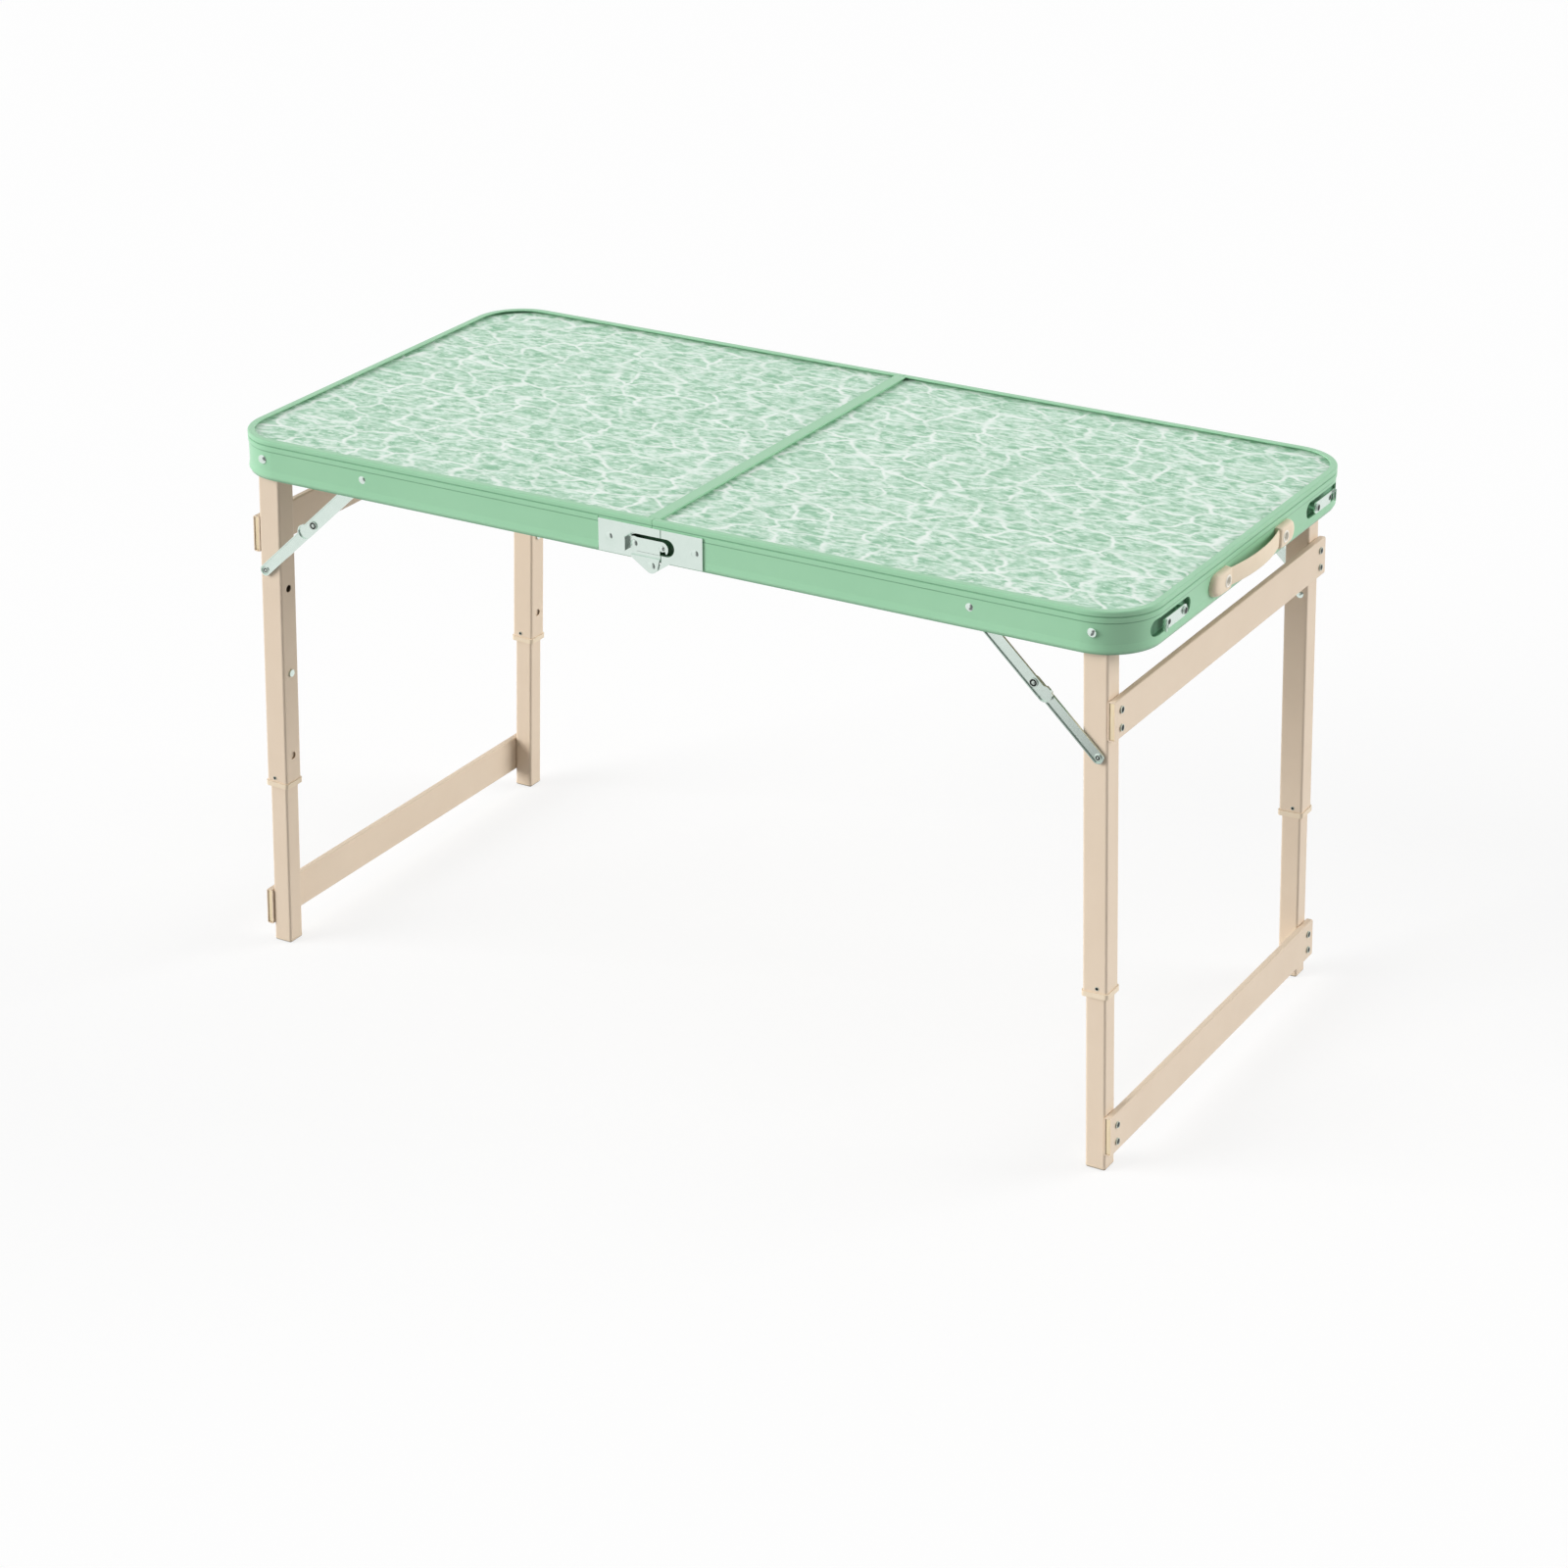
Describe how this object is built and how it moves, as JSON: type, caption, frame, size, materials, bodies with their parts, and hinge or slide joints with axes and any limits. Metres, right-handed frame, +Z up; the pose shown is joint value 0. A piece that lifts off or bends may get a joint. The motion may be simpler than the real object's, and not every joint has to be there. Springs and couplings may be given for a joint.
{
  "type": "folding camping table",
  "caption": "Suitcase-style folding camping table: rimmed marbled top in two halves, telescopic leg frames on folding braces, case hooks, latches and a carrying handle.",
  "frame": {"origin": "on the ground, at the middle of the box round the whole table", "axes": "+X along the table to the end with the carrying handle, +Y across it to the back, +Z up"},
  "size_m": [1.2194, 0.6212, 0.68],
  "materials": {
    "rim_green": "green powder coat on rolled sheet, satin",
    "panel_laminate": "fibreboard with a pale green and white marbled laminate",
    "leg_beige": "beige powder coat on square tube, satin",
    "beige_plastic": "moulded, fine texture",
    "dark_plastic": "moulded, plain",
    "zinc_steel": "zinc plated",
    "bare_aluminium": "mill finish",
    "pocket_green": "green paint in shade, satin"
  },
  "bodies": {
    "left_half": {"left_rim": "rim_green", "left_centre_rail": "rim_green", "left_panel": "panel_laminate", "left_stiffener": "bare_aluminium", "left_leg_bolts": "zinc_steel", "left_rim_rivets": "zinc_steel", "left_hinge_plates": "zinc_steel", "left_hook_pockets": "pocket_green", "catch_studs": "zinc_steel"},
    "right_half": {"right_rim": "rim_green", "right_centre_rail": "rim_green", "right_panel": "panel_laminate", "right_stiffener": "bare_aluminium", "right_leg_bolts": "zinc_steel", "right_rim_rivets": "zinc_steel", "right_hinge_plates": "zinc_steel", "right_hook_pockets": "pocket_green", "latch_pockets": "pocket_green", "handle_strap": "beige_plastic", "handle_pads": "beige_plastic", "handle_screws": "zinc_steel"},
    "left_leg_upper": {"left_front_upper_leg": "leg_beige", "left_back_upper_leg": "leg_beige", "left_upper_bar": "leg_beige", "left_collars": "beige_plastic", "left_upper_rivets": "zinc_steel"},
    "left_leg_lower": {"left_front_lower_leg": "leg_beige", "left_back_lower_leg": "leg_beige", "left_lower_bar": "leg_beige", "left_foot_caps": "beige_plastic", "left_guide_plugs": "dark_plastic", "left_lower_rivets": "zinc_steel"},
    "left_front_brace_upper": {"left_front_upper_link": "zinc_steel"},
    "left_front_brace_lower": {"left_front_lower_link": "zinc_steel"},
    "left_front_button_clip": {"left_front_button": "zinc_steel"},
    "left_back_brace_upper": {"left_back_upper_link": "zinc_steel"},
    "left_back_brace_lower": {"left_back_lower_link": "zinc_steel"},
    "left_back_button_clip": {"left_back_button": "zinc_steel"},
    "right_leg_upper": {"right_front_upper_leg": "leg_beige", "right_back_upper_leg": "leg_beige", "right_upper_bar": "leg_beige", "right_collars": "beige_plastic", "right_upper_rivets": "zinc_steel"},
    "right_leg_lower": {"right_front_lower_leg": "leg_beige", "right_back_lower_leg": "leg_beige", "right_lower_bar": "leg_beige", "right_foot_caps": "beige_plastic", "right_guide_plugs": "dark_plastic", "right_lower_rivets": "zinc_steel"},
    "right_front_brace_upper": {"right_front_upper_link": "zinc_steel"},
    "right_front_brace_lower": {"right_front_lower_link": "zinc_steel"},
    "right_front_button_clip": {"right_front_button": "zinc_steel"},
    "right_back_brace_upper": {"right_back_upper_link": "zinc_steel"},
    "right_back_brace_lower": {"right_back_lower_link": "zinc_steel"},
    "right_back_button_clip": {"right_back_button": "zinc_steel"},
    "front_hook_arm": {"front_hook": "zinc_steel"},
    "front_latch_arm": {"front_latch": "zinc_steel"},
    "back_hook_arm": {"back_hook": "zinc_steel"},
    "back_latch_arm": {"back_latch": "zinc_steel"}
  },
  "joints": [
    {"name": "table_fold", "type": "hinge", "parent": "left_half", "child": "right_half", "pos_m": [-0.0043, 0, 0.626], "axis": [0, 1, 0], "range_deg": [0, 75]},
    {"name": "left_leg_fold", "type": "hinge", "parent": "left_half", "child": "left_leg_upper", "pos_m": [-0.5523, 0, 0.655], "axis": [0, -1, 0], "range_deg": [0, 92]},
    {"name": "left_leg_slide", "type": "slide", "parent": "left_leg_upper", "child": "left_leg_lower", "axis": [0.0349, 0, 0.9994], "range_m": [-0.112, 0.136]},
    {"name": "left_front_brace_pivot", "type": "hinge", "parent": "left_half", "child": "left_front_brace_upper", "pos_m": [-0.4063, -0.296, 0.655], "axis": [0, 1, 0], "range_deg": [0, 41.74]},
    {"name": "left_front_brace_elbow", "type": "hinge", "parent": "left_front_brace_upper", "child": "left_front_brace_lower", "pos_m": [-0.48435, -0.293, 0.58213], "axis": [0, -1, 0], "range_deg": [0, 177.37]},
    {"name": "left_front_button_press", "type": "slide", "parent": "left_leg_lower", "child": "left_front_button_clip", "axis": [-0.9994, 0, 0.0349], "range_m": [0, 0.005], "stiffness_N_per_m": 1500, "springref_m": -0.003, "deforming": ["left_front_button"]},
    {"name": "left_back_brace_pivot", "type": "hinge", "parent": "left_half", "child": "left_back_brace_upper", "pos_m": [-0.4063, 0.296, 0.655], "axis": [0, 1, 0], "range_deg": [0, 41.74]},
    {"name": "left_back_brace_elbow", "type": "hinge", "parent": "left_back_brace_upper", "child": "left_back_brace_lower", "pos_m": [-0.48435, 0.293, 0.58213], "axis": [0, -1, 0], "range_deg": [0, 177.37]},
    {"name": "left_back_button_press", "type": "slide", "parent": "left_leg_lower", "child": "left_back_button_clip", "axis": [-0.9994, 0, 0.0349], "range_m": [0, 0.005], "stiffness_N_per_m": 1500, "springref_m": -0.003, "deforming": ["left_back_button"]},
    {"name": "right_leg_fold", "type": "hinge", "parent": "right_half", "child": "right_leg_upper", "pos_m": [0.5437, 0, 0.655], "axis": [0, 1, 0], "range_deg": [0, 92]},
    {"name": "right_leg_slide", "type": "slide", "parent": "right_leg_upper", "child": "right_leg_lower", "axis": [-0.0349, 0, 0.9994], "range_m": [-0.112, 0.136]},
    {"name": "right_front_brace_pivot", "type": "hinge", "parent": "right_half", "child": "right_front_brace_upper", "pos_m": [0.3977, -0.296, 0.655], "axis": [0, -1, 0], "range_deg": [0, 41.74]},
    {"name": "right_front_brace_elbow", "type": "hinge", "parent": "right_front_brace_upper", "child": "right_front_brace_lower", "pos_m": [0.47575, -0.293, 0.58213], "axis": [0, 1, 0], "range_deg": [0, 177.37]},
    {"name": "right_front_button_press", "type": "slide", "parent": "right_leg_lower", "child": "right_front_button_clip", "axis": [0.9994, 0, 0.0349], "range_m": [0, 0.005], "stiffness_N_per_m": 1500, "springref_m": -0.003, "deforming": ["right_front_button"]},
    {"name": "right_back_brace_pivot", "type": "hinge", "parent": "right_half", "child": "right_back_brace_upper", "pos_m": [0.3977, 0.296, 0.655], "axis": [0, -1, 0], "range_deg": [0, 41.74]},
    {"name": "right_back_brace_elbow", "type": "hinge", "parent": "right_back_brace_upper", "child": "right_back_brace_lower", "pos_m": [0.47575, 0.293, 0.58213], "axis": [0, 1, 0], "range_deg": [0, 177.37]},
    {"name": "right_back_button_press", "type": "slide", "parent": "right_leg_lower", "child": "right_back_button_clip", "axis": [0.9994, 0, 0.0349], "range_m": [0, 0.005], "stiffness_N_per_m": 1500, "springref_m": -0.003, "deforming": ["right_back_button"]},
    {"name": "front_hook_lift", "type": "hinge", "parent": "left_half", "child": "front_hook_arm", "pos_m": [-0.0263, -0.3032, 0.6495], "axis": [0, -1, 0], "range_deg": [0, 90]},
    {"name": "front_latch_swing", "type": "hinge", "parent": "right_half", "child": "front_latch_arm", "pos_m": [0.5982, -0.184, 0.652], "axis": [1, 0, 0], "range_deg": [0, 90]},
    {"name": "back_hook_lift", "type": "hinge", "parent": "left_half", "child": "back_hook_arm", "pos_m": [-0.0263, 0.3032, 0.6495], "axis": [0, -1, 0], "range_deg": [0, 90]},
    {"name": "back_latch_swing", "type": "hinge", "parent": "right_half", "child": "back_latch_arm", "pos_m": [0.5982, 0.184, 0.652], "axis": [-1, 0, 0], "range_deg": [0, 90]}
  ],
  "couplings": [
    {"joint": "left_leg_slide", "follows": "left_leg_fold", "m_per_rad": 0.08408},
    {"joint": "left_front_brace_pivot", "follows": "left_leg_fold", "ratio": 0.45319},
    {"joint": "left_front_brace_elbow", "follows": "left_leg_fold", "ratio": 1.9274},
    {"joint": "left_back_brace_pivot", "follows": "left_leg_fold", "ratio": 0.45319},
    {"joint": "left_back_brace_elbow", "follows": "left_leg_fold", "ratio": 1.9274},
    {"joint": "right_leg_slide", "follows": "right_leg_fold", "m_per_rad": 0.08408},
    {"joint": "right_front_brace_pivot", "follows": "right_leg_fold", "ratio": 0.45319},
    {"joint": "right_front_brace_elbow", "follows": "right_leg_fold", "ratio": 1.9274},
    {"joint": "right_back_brace_pivot", "follows": "right_leg_fold", "ratio": 0.45319},
    {"joint": "right_back_brace_elbow", "follows": "right_leg_fold", "ratio": 1.9274},
    {"joint": "front_hook_lift", "follows": "table_fold", "ratio": 1.2},
    {"joint": "back_hook_lift", "follows": "table_fold", "ratio": 1.2}
  ]
}
